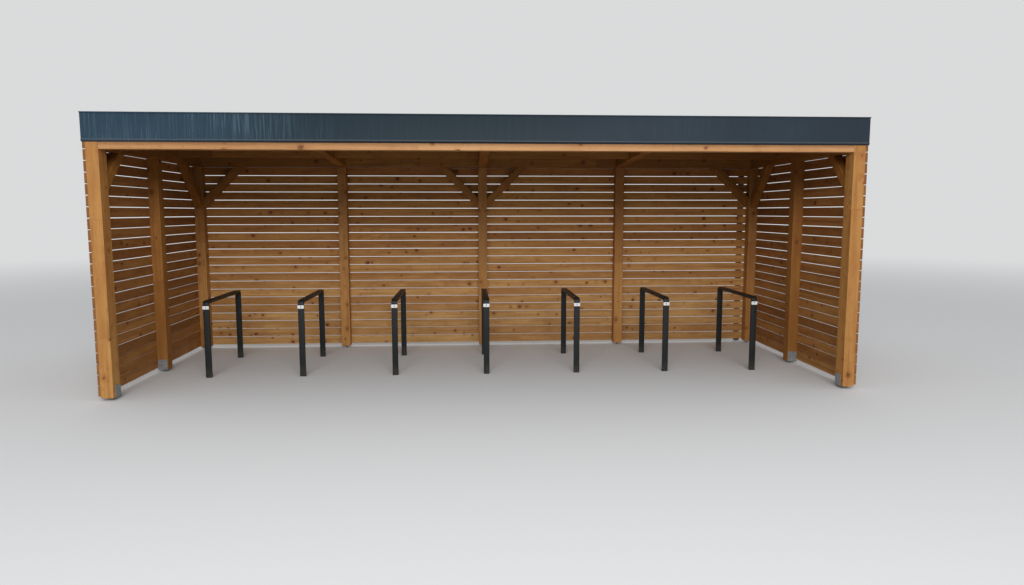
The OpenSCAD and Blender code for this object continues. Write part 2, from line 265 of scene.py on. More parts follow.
class Bench:                                  # one material, or the world, being written
    def __init__(self, name, world=None):
        self.material = world or bpy.data.materials.new(name)
        self.material.use_nodes = True
        self.tree = self.material.node_tree
        self.tree.nodes.clear()

    def node(self, kind, settings=None, inputs=None, out=0):
        made = self.tree.nodes.new(kind)
        for key, value in (settings or {}).items():
            setattr(made, key, value)
        for key, value in (inputs or {}).items():
            if isinstance(value, Flow):
                self.tree.links.new(value.socket, made.inputs[key])
            else:
                made.inputs[key].default_value = value
        return Flow(self, made.outputs[out])

    def attribute(self, label):
        return self.node("ShaderNodeAttribute", {"attribute_name": label}, out=1)

    def place(self):
        return self.node("ShaderNodeTexCoord", out=3)

    def split(self, vector):
        parts = self.node("ShaderNodeSeparateXYZ", None, {0: vector})
        outs = parts.socket.node.outputs
        return [Flow(self, outs[i]) for i in range(3)]

    def vector(self, x, y, z):
        return self.node("ShaderNodeCombineXYZ", None, {0: x, 1: y, 2: z})

    def noise(self, vector, scale, detail=2.0, rough=0.5, distort=0.0):
        return self.node("ShaderNodeTexNoise", None, {
            "Vector": vector, "Scale": scale, "Detail": detail, "Roughness": rough, "Distortion": distort})

    def mix(self, share, first, second, blend="MIX"):
        return self.node("ShaderNodeMix", {"data_type": "RGBA", "blend_type": blend},
                         {0: share, 6: first, 7: second}, out=2)

    def bump(self, height, strength, distance):
        return self.node("ShaderNodeBump", None,
                         {"Height": height, "Strength": strength, "Distance": distance})

    def finish(self, **inputs):
        labels = {"colour": "Base Color", "rough": "Roughness", "metal": "Metallic", "normal": "Normal",
                  "shine": "Specular IOR Level"}
        shaded = self.node("ShaderNodeBsdfPrincipled", None,
                           {labels[key]: value for key, value in inputs.items()})
        self.end(shaded)
        return self.material

    def end(self, shaded, kind="ShaderNodeOutputMaterial"):
        output = self.tree.nodes.new(kind)
        self.tree.links.new(shaded.socket, output.inputs["Surface"])


def tone(red, green, blue):                   # screen colour, 0 to 255, as the shader wants it
    def linear(value):
        value /= 255
        return value / 12.92 if value <= 0.04045 else ((value + 0.055) / 1.055) ** 2.4
    return (linear(red), linear(green), linear(blue), 1.0)


# wood

# low, high and the last tint of each look paint a shade that deepens with height under the roof
postWood = {"light": tone(208, 155, 88), "deep": tone(166, 109, 52), "brown": tone(130, 82, 40),
            "spread": 0.45, "brownShare": 0.10, "ring": 0.0048, "knots": 0.52, "knotSize": 1.30, "halo": 0.42,
            "cloud": 0.95, "cracks": 1.0, "length": 1.06, "fingers": 0.0062, "fingerLong": 0.010,
            "low": 0.5, "high": 2.4, "above": (0.95, 0.92, 0.90, 1)}
# painted shade: a darker copy of the post wood for the rafters, purlins, braces, inner beams and end posts
# under the roof
innerWoodPaintedShade = dict(postWood, light=tone(182, 129, 61), deep=tone(141, 91, 39), brown=tone(108, 65, 29),
                 above=(0.92, 0.84, 0.76, 1))
beamWood = {"light": tone(214, 165, 114), "deep": tone(178, 124, 75), "brown": tone(146, 95, 54),
            "spread": 0.30, "brownShare": 0.05, "ring": 0.0048, "knots": 0.36, "knotSize": 1.1, "halo": 0.34,
            "cloud": 0.75, "cracks": 0.7, "length": 2.3, "fingers": 0.0062, "fingerLong": 0.010,
            "low": 2.258, "high": 2.300, "above": (0.60, 0.56, 0.52, 1)}
slatWood = {"light": tone(209, 164, 103), "deep": tone(164, 116, 64), "brown": tone(124, 80, 44),
            "spread": 0.44, "brownShare": 0.10, "ring": 0.0042, "knots": 0.92, "knotSize": 1.0, "halo": 0.28,
            "cloud": 0.90, "cracks": 0.0, "length": 0.0,
            "low": 0.15, "high": 1.75, "above": (0.97, 0.79, 0.55, 1)}
# painted shade: a darker copy of the slat wood for the end walls under the roof
endWoodPaintedShade = dict(slatWood, light=tone(192, 137, 75), deep=tone(147, 95, 46), brown=tone(112, 69, 34),
               above=(0.82, 0.76, 0.78, 1))


def woodMaterial(name, look):
    s = Bench(name)
    x, y, z = s.split(s.attribute("grain"))
    b1, b2, b3 = s.split(s.attribute("board"))
    seam = None
    if look["length"]:                        # finger-jointed lengths, each from another plank
        teeth = abs((y / look["fingers"]).do("FRACT") - 0.5) * 2.0 - 0.5
        count = x / look["length"] + teeth * (look["fingerLong"] / look["length"]) + b2 * 7.0
        place = count.do("FRACT")
        seam = (place.do("MINIMUM", 1.0 - place) * look["length"]).span(0.0004, 0.0014, 1.0, 0.0)
        plank = s.node("ShaderNodeTexWhiteNoise", {"noise_dimensions": "3D"},
                       {"Vector": s.vector(count.do("FLOOR"), b1 * 50.0, b3 * 50.0)}, out=1)
        b1, b2, b3 = s.split(plank)
    # knots: ellipsoids in a few cells, bent a little out of true
    bent = s.noise(s.vector(x * 16.0, y * 30.0 + b1 * 9.0, z * 30.0), 1.0, 2.0, 0.6) - 0.5
    spots = s.vector((x + bent * 0.030) * 9.0 + b1 * 31.0, (y + bent * 0.014) * 11.0 + b2 * 17.0,
                     z * 9.0 + b3 * 23.0)
    knotRange = s.node("ShaderNodeTexVoronoi", None, {"Vector": spots, "Scale": 1.0, "Randomness": 0.9})
    knotPick, knotScale, knotTone = s.split(Flow(s, knotRange.socket.node.outputs["Color"]))
    size = (0.055 + knotScale * knotScale * 0.140) * look["knotSize"]
    here = knotPick < look["knots"]
    reach = knotRange / size
    core = reach.span(0.70, 1.10, 1.0, 0.0) * here
    rim = (1.0 - abs(reach - 1.0) * 3.2).do("MAXIMUM", 0.0) * here
    halo = reach.span(0.8, 3.4, 1.0, 0.0) * here
    # growth rings about a heart that lies outside the board
    wander = s.noise(s.vector(x * 0.55, y * 2.0, b3 * 9.0), 1.0, 3.0, 0.55) - 0.5
    dy = y - (b1 - 0.5) * 0.09
    dz = z + 0.035 + b2 * 0.07
    radius = (dy * dy + dz * dz).do("SQRT") + wander * 0.045 + halo * 0.009
    turn = (radius / look["ring"]).do("FRACT")
    ring = turn.span(0.25, 0.93, 0.0, 1.0) * turn.span(0.93, 1.0, 1.0, 0.0)
    band = (radius / (look["ring"] * 4.1)).do("SINE") * 0.5 + 0.5
    fibre = s.noise(s.vector(x * 9.0, y * 420.0, z * 420.0), 1.0, 2.0, 0.6)
    streak = s.noise(s.vector(x * 1.1, y * 34.0 + b2 * 7.0, z * 34.0), 1.0, 3.0, 0.62)
    cloud = s.noise(s.vector(x * 3.0, y * 11.0 + b3 * 11.0, z * 11.0), 1.0, 3.0, 0.6)
    fleck = s.noise(s.vector(x * 26.0, y * 120.0 + b1 * 3.0, z * 120.0), 1.0, 2.0, 0.5).span(0.66, 0.76)
    pale = b3 * look["spread"] + (0.55 - 0.5 * look["spread"]) + (cloud - 0.5) * look["cloud"]
    colour = s.mix(pale.span(0.15, 0.85), look["deep"], look["light"])
    colour = s.mix((b2 < look["brownShare"]) * (0.35 + b1 * 0.35), colour, look["brown"])
    colour = s.mix(streak.span(0.40, 0.66) * 0.46, colour, look["deep"])
    colour = s.mix(streak.span(0.58, 0.72) * 0.40, colour, look["brown"])
    colour = s.mix(ring * 0.26 + band * 0.14, colour, s.mix(0.55, look["deep"], tone(116, 68, 30)))
    colour = s.mix(fibre.span(0.45, 0.8) * 0.16, colour, tone(120, 72, 34))
    colour = s.mix(fleck * 0.60, colour, tone(92, 52, 24))
    colour = s.mix(halo * (look["halo"] + knotTone * 0.25), colour, tone(156, 88, 38))
    colour = s.mix(core * (0.70 + knotTone * 0.25), colour, s.mix(fibre, tone(74, 40, 18), tone(112, 62, 29)))
    colour = s.mix(rim * (0.40 + knotTone * 0.45), colour, tone(44, 24, 12))
    # sawn ends are darker and show the rings as circles
    facing = s.node("ShaderNodeTexCoord", out=1)
    straight = s.node("ShaderNodeVectorMath", {"operation": "DOT_PRODUCT"},
                      {0: facing, 1: s.attribute("along")}, out=1)
    sawn = abs(straight).span(0.75, 0.9)
    colour = s.mix(sawn * (0.45 + ring * 0.3), colour, tone(128, 82, 46))
    relief = fibre * 0.35 + ring * 0.5 - core * 0.6
    if look["cracks"]:
        split = s.noise(s.vector(x * 1.3, y * 42.0 + b1 * 5.0, z * 42.0), 1.0, 1.0, 0.4, 0.15)
        crack = (1.0 - abs(split - 0.5) * 70.0).do("MAXIMUM", 0.0)
        where = s.noise(s.vector(x * 0.8, y * 3.0, b2 * 13.0), 1.0, 1.0).span(0.60, 0.66)
        crack = crack * where * look["cracks"]
        colour = s.mix(crack * 0.7, colour, tone(70, 40, 20))
        relief = relief - crack * 3.0
    if seam:
        colour = s.mix(seam * 0.6, colour, tone(96, 58, 28))
        relief = relief - seam
    # painted shade: between the look's low and high heights the colour is multiplied by a darker, browner
    # tint, for the shade under the roof; on the front beam it is the shade under the fascia
    height = s.split(s.place())[2]
    colour = s.mix(height.span(look["low"], look["high"]), colour, look["above"], "MULTIPLY")
    rough = 0.55 + fibre * 0.16 + core * 0.05
    return s.finish(colour=colour, rough=rough, shine=0.30, normal=s.bump(relief, 0.5, 0.0012))


# metals and plastics

def coatedSteel(name, look):
    s = Bench(name)
    spot = s.place()
    x, y, z = s.split(spot)
    cloud = s.noise(spot, 1.3, 3.0, 0.55)
    speck = s.noise(spot, 900.0, 1.0, 0.5)
    colour = s.mix(cloud.span(0.3, 0.7) * 0.6, look["dark"], look["light"])
    if look.get("streaks"):                   # rain marks run down the left half; the middle, where the lamp shines brightest, is painted darker: painted shade
        run = s.noise(s.vector(x * 78.0, y * 78.0, z * 2.2), 1.0, 3.0, 0.62)
        fine = s.noise(s.vector(x * 190.0, y * 190.0, z * 5.0), 1.0, 2.0, 0.6)
        patch = s.noise(s.vector(x * 1.4, y * 1.4, z * 3.0), 1.0, 2.0, 0.5).span(0.42, 0.62)
        left = x.span(-3.4, 0.9, 1.0, 0.0)
        middle = abs(x + 0.6).span(0.5, 2.3, 1.0, 0.0)
        colour = s.mix(left * 0.65, colour, look["weathered"])
        colour = s.mix(middle * 0.75, colour, look["clean"])
        mark = (run.span(0.48, 0.64) * 0.7 + fine.span(0.5, 0.7) * 0.3) * (patch * 0.55 + 0.45)
        colour = s.mix(mark * x.span(-2.3, -1.2, 1.0, 0.08) * look["streaks"], colour, look["streakColour"])
        # dust and painted highlight: upward faces turn paler, as dust settles on them and as the drip's kick
        # and the cap catch the light
        facing = s.split(s.node("ShaderNodeTexCoord", out=1))[2]
        colour = s.mix(facing.span(0.30, 0.55) * 0.65, colour, look["settled"])
    if look.get("dust"):                      # dust and splashes low down
        low = z.span(0.0, look["dust"], 1.0, 0.0)
        spray = s.noise(spot, 60.0, 3.0, 0.6).span(0.45, 0.7)
        colour = s.mix(low * (0.15 + spray * 0.35), colour, look["dustColour"])
    rough = look["rough"] + (cloud - 0.5) * 0.12 + (speck - 0.5) * 0.05
    return s.finish(colour=colour, rough=rough, metal=0.0, shine=look.get("shine", 0.4),
                    normal=s.bump(speck + cloud * look.get("wave", 0.0), 0.12, 0.0006))


def galvanised(name):
    s = Bench(name)
    spot = s.place()
    flake = s.node("ShaderNodeTexVoronoi", None, {"Vector": spot, "Scale": 95.0})
    shade = s.split(Flow(s, flake.socket.node.outputs["Color"]))[0]
    cloud = s.noise(spot, 14.0, 3.0, 0.6)
    colour = s.mix(shade * 0.55 + cloud * 0.35, tone(122, 126, 129), tone(172, 176, 178))
    colour = s.mix(cloud.span(0.58, 0.8) * 0.4, colour, tone(190, 192, 190))
    rough = 0.40 + shade * 0.14 + cloud * 0.1
    return s.finish(colour=colour, rough=rough, metal=0.5, normal=s.bump(cloud, 0.1, 0.0006))


def brightSteel(name):
    s = Bench(name)
    spot = s.place()
    turned = s.noise(spot, 1400.0, 2.0, 0.6)
    colour = s.mix(turned, tone(150, 150, 150), tone(196, 196, 194))
    return s.finish(colour=colour, rough=0.28 + turned * 0.12, metal=0.85)


def platePlastic(name):
    s = Bench(name)
    cloud = s.noise(s.place(), 60.0, 2.0, 0.5)
    colour = s.mix(cloud, tone(222, 224, 224), tone(238, 239, 238))
    return s.finish(colour=colour, rough=0.28 + cloud * 0.1)


timberPost = woodMaterial("timberPost", postWood)
timberInnerPaintedShade = woodMaterial("timberInnerPaintedShade", innerWoodPaintedShade)
timberBeam = woodMaterial("timberBeam", beamWood)
timberSlat = woodMaterial("timberSlat", slatWood)
timberEndPaintedShade = woodMaterial("timberEndPaintedShade", endWoodPaintedShade)
fasciaSteel = coatedSteel("fasciaSteel", {
    "dark": tone(40, 51, 61), "light": tone(48, 60, 71), "rough": 0.55, "shine": 0.2, "wave": 1.5,
    "weathered": tone(42, 68, 86), "clean": tone(14, 33, 42), "settled": tone(94, 97, 99),
    "streaks": 0.60, "streakColour": tone(88, 111, 126)})
roofSteel = coatedSteel("roofSteel", {
    "dark": tone(54, 62, 70), "light": tone(64, 73, 82), "rough": 0.48, "shine": 0.3})
hoopSteel = coatedSteel("hoopSteel", {
    "dark": tone(27, 29, 30), "light": tone(36, 39, 40), "rough": 0.48, "shine": 0.25,
    "dust": 0.16, "dustColour": tone(96, 92, 86)})
zincSteel = galvanised("zincSteel")
whitePlate = platePlastic("whitePlate")
screwSteel = brightSteel("screwSteel")
inkPaint = coatedSteel("inkPaint", {"dark": tone(30, 30, 32), "light": tone(42, 42, 44), "rough": 0.5})
print("materials written")


# posts

posts = {"chamfer": 0.005, "notchDepth": 0.005}
postNodes = ["front_post_left", "front_post_right", "end_post_left", "end_post_right",
             "rear_post_1", "rear_post_2", "rear_post_3", "rear_post_4", "rear_post_5"]


def camel(node):
    words = node.split("_")
    return words[0] + "".join(word.title() for word in words[1:])


footLow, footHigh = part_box("front_post_feet")
for node in postNodes:
    low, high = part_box(node)
    piece = block(camel(node) + "Timber", low, high)
    if node.startswith("front"):              # the shoe's outer plate is let into the post
        side = -1 if "left" in node else 1
        outer = low.x if side < 0 else high.x
        edges = sorted((outer - side * posts["notchDepth"], outer + side * posts["notchDepth"]))
        cutter = block("cutter", (edges[0], footLow.y, footLow.z), (edges[1], footHigh.y, footHigh.z))
        finishWith(piece, "BOOLEAN", object=cutter, operation="DIFFERENCE", solver="EXACT")
        drop(cutter)
    chamfer(piece, posts["chamfer"])
    cleaned(piece)
    smooth(piece, 20)
    markGrain(piece, (0, 0, 1), (1, 0, 0))
    addPiece(piece, timberInnerPaintedShade if node.startswith("end") else timberPost, "timber", node)
print("posts made")


# beams, rafters and purlins: the roof plane is read from the front and rear beams

frontLow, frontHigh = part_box("front_beam")
rearLow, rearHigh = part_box("rear_beam")
slope = (frontHigh.z - rearHigh.z) / (rearLow.y - frontLow.y)


def roofAt(y):
    return frontHigh.z - (y - frontLow.y) * slope


roofTimbers = {"edge": 0.004, "purlinEdge": 0.003}


def roofTimber(name, low, high, depth, edge=roofTimbers["edge"]):
    # its top follows the roof; its underside is level, or follows too if a depth is given
    piece = block(name, low, high)
    for vertex in piece.data.vertices:
        if vertex.co.z > (low.z + high.z) / 2:
            vertex.co.z = roofAt(vertex.co.y)
        elif depth:
            vertex.co.z = roofAt(vertex.co.y) - depth
    chamfer(piece, edge)
    smooth(piece, 20)
    return piece


beams = {"front_beam": "X", "rear_beam": "X", "left_beam": "Y", "right_beam": "Y"}
for node, run in beams.items():
    low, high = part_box(node)
    piece = roofTimber(camel(node) + "Timber", low, high, 0)
    markGrain(piece, (1, 0, 0) if run == "X" else (0, 1, 0), (0, 0, 1))
    addPiece(piece, timberBeam if node == "front_beam" else timberInnerPaintedShade, "timber", node)

for node in ("rafter_1", "rafter_2", "rafter_3"):
    low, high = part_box(node)
    depth = roofAt(high.y) - low.z
    piece = roofTimber(camel(node) + "Timber", low, high, depth)
    markGrain(piece, (0, 1, -slope), (0, 0, 1))
    addPiece(piece, timberInnerPaintedShade, "timber", node)


def solidsOf(node):                           # boxes of a node's separate solids
    mesh = nodes[node].data
    parent = list(range(len(mesh.vertices)))
    spots = {}

    def root(i):
        while parent[i] != i:
            parent[i] = parent[parent[i]]
            i = parent[i]
        return i
    for vertex in mesh.vertices:
        key = tuple(round(c, 5) for c in vertex.co)
        if key in spots:
            parent[root(vertex.index)] = root(spots[key])
        else:
            spots[key] = vertex.index
    for face in mesh.polygons:
        first = root(face.vertices[0])
        for i in face.vertices[1:]:
            parent[root(i)] = first
    groups = {}
    for vertex in mesh.vertices:
        groups.setdefault(root(vertex.index), []).append(vertex.co)
    boxes = []
    for points in groups.values():
        boxes.append((Vector([min(p[i] for p in points) for i in range(3)]),
                      Vector([max(p[i] for p in points) for i in range(3)])))
    return sorted(boxes, key=lambda b: (round(b[0].z, 4), round(b[0].y, 4), round(b[0].x, 4)))


for node in ("front_purlin", "rear_purlin"):
    parts = []
    for low, high in solidsOf(node):
        depth = roofAt(high.y) - low.z
        part = roofTimber("purlinPart", low, high, depth, roofTimbers["purlinEdge"])
        markGrain(part, (1, 0, 0), (0, 0, 1))
        parts.append(part)
    addPiece(joined(camel(node) + "Timber", parts), timberInnerPaintedShade, "timber", node)
print("beams, rafters and purlins made")


# knee braces

braces = {"chamfer": 0.004, "spare": 0.12, "inLine": 0.06}


def brace(foot, head, inward, across, size):
    # foot is the outer lower corner on the post, head the outer end under the beam
    run = head - foot
    long = run.normalized()
    middle = (foot + head) / 2 + inward * size / 2
    piece = added("bracePart", bpy.ops.mesh.primitive_cube_add, size=1, location=(0, 0, 0))
    piece.scale = (run.length + 2 * braces["spare"], size, size)
    applyPlace(piece)
    turn = Matrix((long, across, long.cross(across))).transposed()
    piece.data.transform(Matrix.Translation(middle) @ turn.to_4x4())
    return piece


def trimBrace(piece, postFace, postNormal, beamFace):
    for place, normal in ((postFace, postNormal), (beamFace, Vector((0, 0, 1)))):
        openEdit(piece)
        bpy.ops.mesh.bisect(plane_co=place, plane_no=normal, use_fill=True, clear_outer=True)
        closeEdit()
    cleaned(piece)
    chamfer(piece, braces["chamfer"])
    smooth(piece, 20)


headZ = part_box("rear_beam")[0].z
postBoxes = [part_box(node) for node in postNodes]


def makeBraces(node):
    parts = []
    for low, high in solidsOf(node):
        centre = (low + high) / 2
        lengthwise = node == "rear_braces"    # braces of the rear wall lie along X
        axis = 0 if lengthwise else 1
        # the post it stands on is the one whose face meets the box's end
        best = None
        for postLow, postHigh in postBoxes:
            if abs((postLow + postHigh)[1 - axis] / 2 - centre[1 - axis]) > braces["inLine"]:
                continue
            for end, face, way in ((low[axis], postHigh[axis], 1), (high[axis], postLow[axis], -1)):
                if best is None or abs(end - face) < best[0]:
                    best = (abs(end - face), face, way)
        face, way = best[1], best[2]
        near, far = (low[axis], high[axis]) if way > 0 else (high[axis], low[axis])
        foot, head = centre.copy(), centre.copy()
        foot[axis], foot.z = near, low.z
        head[axis], head.z = far, high.z
        along = (head - foot).normalized()
        side = Vector((0, 1, 0)) if lengthwise else Vector((1, 0, 0))
        inward = along.cross(side)
        toCorner = Vector((0, 0, 1))
        toCorner[axis] = -way
        if inward.dot(toCorner) < 0:
            inward = -inward
        piece = brace(foot, head, inward, side, (high - low)[1 - axis])
        postPoint = centre.copy()
        postPoint[axis] = face
        outward = Vector((0, 0, 0))
        outward[axis] = -way
        trimBrace(piece, postPoint, outward, Vector((0, 0, headZ)))
        markGrain(piece, along, side)
        parts.append(piece)
    addPiece(joined(camel(node) + "Timber", parts), timberInnerPaintedShade, "timber", node)


for node in ("left_braces", "right_braces", "rear_braces"):
    makeBraces(node)
print("knee braces made")


# slats

slats = {"round": 0.0025, "rise": 0.0008}


def makeSlats(node, run, material):
    boards = solidsOf(node)
    first = block("slatBoard", *boards[0])
    chamfer(first, slats["round"])
    smooth(first, 20)
    start = boards[0][0]
    parts = []
    for low, high in boards:
        board = twin(first, low - start + Vector((0, 0, dice.uniform(-1, 1) * slats["rise"])))
        markGrain(board, (1, 0, 0) if run == "X" else (0, 1, 0), (0, 0, 1))
        parts.append(board)
    drop(first)
    addPiece(joined(camel(node) + "Boards", parts), material, "timber", node)


makeSlats("left_slats", "Y", timberEndPaintedShade)
makeSlats("right_slats", "Y", timberEndPaintedShade)
makeSlats("rear_slats_left", "X", timberSlat)
makeSlats("rear_slats_right", "X", timberSlat)
print("slats made")


# two screws fix every slat to every post behind it, seen on the outside

slatScrews = {"radius": 0.0048, "proud": 0.0005, "depth": 0.0022, "recess": 0.0024, "sink": 0.0010,
              "spread": 0.024, "step": 0.012, "atJoint": 0.026, "stray": 0.002, "reach": 0.05, "near": 0.01}


def screwHead():
    look = slatScrews
    piece = rod("screwHead", (0, 0, look["proud"] - look["depth"] / 2), look["radius"], look["depth"],
                sides=10)
    openEdit(piece, lambda centre, normal: normal.z > 0.9)
    bpy.ops.mesh.inset(thickness=look["radius"] - look["recess"], depth=0)
    extrude((0, 0, -look["sink"]))
    closeEdit()
    smooth(piece, 35)
    return piece


def screwSlats():
    look = slatScrews
    head = screwHead()
    heads = []
    stray = look["stray"]

    def pair(across, x, y, z, facing):
        for step in (-1, 1):
            lean = Vector(across) * (step * look["step"] / 2 + dice.uniform(-stray, stray))
            place = Vector((x, y, z + step * look["spread"] + dice.uniform(-stray, stray)))
            heads.append(twin(head, place + lean, facing))
    for node in ("rear_slats_left", "rear_slats_right"):
        for low, high in solidsOf(node):
            for number in range(1, 6):
                postLow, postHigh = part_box(f"rear_post_{number}")
                x = (postLow.x + postHigh.x) / 2
                if abs(x) < look["near"]:     # two lengths meet on the middle post
                    x = look["atJoint"] * (1 if low.x > -look["near"] else -1)
                if low.x - look["reach"] < x < high.x + look["reach"]:
                    pair((1, 0, 0), x, high.y, (low.z + high.z) / 2, (0, 1, 0))
    for node, side in (("left_slats", -1), ("right_slats", 1)):
        ends = ("front_post_left", "end_post_left", "rear_post_1") if side < 0 else \
               ("front_post_right", "end_post_right", "rear_post_5")
        for low, high in solidsOf(node):
            for name in ends:
                postLow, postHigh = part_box(name)
                pair((0, 1, 0), low.x if side < 0 else high.x, (postLow.y + postHigh.y) / 2,
                     (low.z + high.z) / 2, (side, 0, 0))
    drop(head)
    addPiece(joined("slatScrewHeads", heads), screwSteel, "galvanised_steel")


screwSlats()
print("slat screws made")


# post shoes: a bent strap on a threaded stem, screwed to the post

shoes = {"thick": 0.005, "bend": 0.003, "corner": 0.012, "edge": 0.0008, "stem": 0.010, "weld": 0.004,
         "overlap": 0.0005, "screwLow": 0.062, "screwHigh": 0.106, "screwAside": 0.012}
hexScrews = {"flange": 0.0088, "flangeUp": 0.0008, "flangeTall": 0.0022, "flangeEdge": 0.0005,
             "head": 0.0066, "headUp": 0.001, "headTall": 0.0050, "headEdge": 0.0009}


def hexScrew(scale=1.0):
    look = hexScrews
    flange = rod("flange", (0, 0, look["flangeUp"] * scale), look["flange"] * scale,
                 look["flangeTall"] * scale, sides=20)
    chamfer(flange, look["flangeEdge"] * scale, 1)
    head = rod("head", (0, 0, look["headTall"] * scale / 2 + look["headUp"] * scale), look["head"] * scale,
               look["headTall"] * scale, sides=6)
    chamfer(head, look["headEdge"] * scale, 2)
    piece = joined("hexScrew", [flange, head])
    smooth(piece, 30)
    return piece


def stem(x, y, top):                          # the weld spreads under the plate
    piece = rod("stem", (x, y, top / 2), shoes["stem"], top, sides=24)
    openEdit(piece)
    bpy.ops.mesh.bisect(plane_co=(0, 0, top - shoes["weld"]), plane_no=(0, 0, 1))
    closeEdit()
    openEdit(piece, lambda centre, normal: normal.z > 0.9)
    wide = 1 + shoes["weld"] / shoes["stem"]
    bpy.ops.transform.resize(value=(wide, wide, 1), center_override=(x, y, top))
    closeEdit()
    smooth(piece, 50)
    return piece


def strapShoe(low, high, run, bottom):        # an arch of flat bar, turned over, its length along run
    wide, long = (high.y - low.y, high.x - low.x) if run == "X" else (high.x - low.x, high.y - low.y)
    strap = bentBar("strap", wide, long, high.z - bottom, shoes["thick"], shoes["bend"], 5)
    openEdit(strap, edgeTest=lambda a, b: a.z < 1e-4 and b.z < 1e-4 and abs(a.y - b.y) > shoes["thick"] / 2)
    bpy.ops.mesh.bevel(offset=shoes["corner"], segments=4, affect="EDGES")
    closeEdit()
    chamfer(strap, shoes["edge"], 1, 60)
    smooth(strap, 35)
    turn = Matrix.Rotation(math.pi, 4, "X")
    if run == "X":
        turn = Matrix.Rotation(math.pi / 2, 4, "Z") @ turn
    centre = (low + high) / 2
    strap.data.transform(Matrix.Translation((centre.x, centre.y, high.z)) @ turn)
    return strap


def makeShoes(node, run):
    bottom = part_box("front_post_left")[0].z - shoes["thick"]
    screw = hexScrew()
    parts = []
    for low, high in solidsOf(node):
        centre = (low + high) / 2
        parts.append(strapShoe(low, high, run, bottom))
        parts.append(stem(centre.x, centre.y, bottom + shoes["overlap"]))
        for way in (-1, 1):
            for z in (shoes["screwLow"], shoes["screwHigh"]):
                if run == "X":
                    place = ((low.x if way < 0 else high.x), centre.y + way * shoes["screwAside"], z)
                    parts.append(twin(screw, place, (way, 0, 0)))
                else:
                    place = (centre.x + way * shoes["screwAside"], (low.y if way < 0 else high.y), z)
                    parts.append(twin(screw, place, (0, way, 0)))
    drop(screw)
    addPiece(joined(camel(node) + "Shoes", parts), zincSteel, "galvanised_steel", node)


makeShoes("front_post_feet", "X")
makeShoes("end_post_feet", "Y")
parts = []
for low, high in solidsOf("rear_post_feet"):
    bottom = high.z - shoes["thick"]
    centre = (low + high) / 2
    plate = block("shoePlate", (low.x, low.y, bottom), high)
    openEdit(plate, edgeTest=lambda a, b: abs(a.z - b.z) > 0.001)
    bpy.ops.mesh.bevel(offset=shoes["thick"], segments=3, affect="EDGES")
    closeEdit()
    chamfer(plate, shoes["edge"], 1, 60)
    smooth(plate, 30)
    parts += [plate, stem(centre.x, centre.y, bottom + shoes["overlap"])]
addPiece(joined("rearPostFeetPlates", parts), zincSteel, "galvanised_steel", "rear_post_feet")
print("post shoes made")


# hoops: one flat tube bent twice, with round edges

hoops = {"thick": 0.030, "bend": 0.012, "edge": 0.004}
low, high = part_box("hoop_1")
master = bentBar("hoopTube", high.x - low.x, high.y - low.y, high.z, hoops["thick"], hoops["bend"])
chamfer(master, hoops["edge"], 3, 50)
smooth(master, 35)
for number in range(1, 8):
    low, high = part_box(f"hoop_{number}")
    piece = twin(master, ((low.x + high.x) / 2, (low.y + high.y) / 2, 0))
    piece.name = f"hoop{number}Tube"
    addPiece(piece, hoopSteel, "hoop_steel", f"hoop_{number}")
drop(master)
print("hoops made")


# number plates, each with a plain number and two rivets

plates = {"corner": 0.005, "edge": 0.0005, "digit": 0.030, "ink": 0.0002,
          "rivet": 0.0022, "rivetTall": 0.0014, "rivetEdge": 0.0006, "rivetInset": 0.007}
parts, digits, rivets = [], [], []
rivet = rod("rivet", (0, 0, 0), plates["rivet"], plates["rivetTall"], sides=12)
chamfer(rivet, plates["rivetEdge"], 2)
smooth(rivet, 60)
for number, (low, high) in enumerate(solidsOf("number_plates"), 1):
    part = block("platePart", low, high)
    openEdit(part, edgeTest=lambda a, b: abs(a.x - b.x) < 1e-6 and abs(a.z - b.z) < 1e-6)
    bpy.ops.mesh.bevel(offset=plates["corner"], segments=5, affect="EDGES")
    closeEdit()
    chamfer(part, plates["edge"], 1, 60)
    smooth(part, 30)
    parts.append(part)
    centre = (low + high) / 2
    for side in (-1, 1):
        x = centre.x + side * ((high.x - low.x) / 2 - plates["rivetInset"])
        rivets.append(twin(rivet, (x, low.y, centre.z), (0, -1, 0)))
    digit = added("digit", bpy.ops.object.text_add, location=(centre.x, low.y, centre.z),
                  rotation=(math.pi / 2, 0, 0))
    digit.data.body = str(number)
    digit.data.size = plates["digit"]
    digit.data.extrude = plates["ink"]
    digit.data.align_x, digit.data.align_y = "CENTER", "CENTER"
    useOnly(digit)
    bpy.ops.object.convert(target="MESH")
    digit = bpy.context.object
    applyPlace(digit)
    cleaned(digit)
    digits.append(digit)
drop(rivet)
addPiece(joined("numberPlatesWhite", parts), whitePlate, "white_plate", "number_plates")
addPiece(joined("plateNumbers", digits), inkPaint, "hoop_steel")
addPiece(joined("plateRivets", rivets), screwSteel, "galvanised_steel")
print("number plates made")


# fascia: sheet folded to a face with a drip below and a cap above, mitred at the front corners

fascia = {"sheet": 0.0014, "step": 0.008, "endStep": 0.0005, "kick": 0.026, "nose": 0.014, "hem": 0.016,
          "hemInset": 0.004, "joint": 0.0004, "cap": 0.070, "capDrop": 0.012, "lip": 0.010, "fold": 0.0006,
          "near": 1e-4, "endReach": 0.01, "screwScale": 0.62, "screwStep": 0.90, "screwEnd": 0.10,
          "screwUp": 0.058}


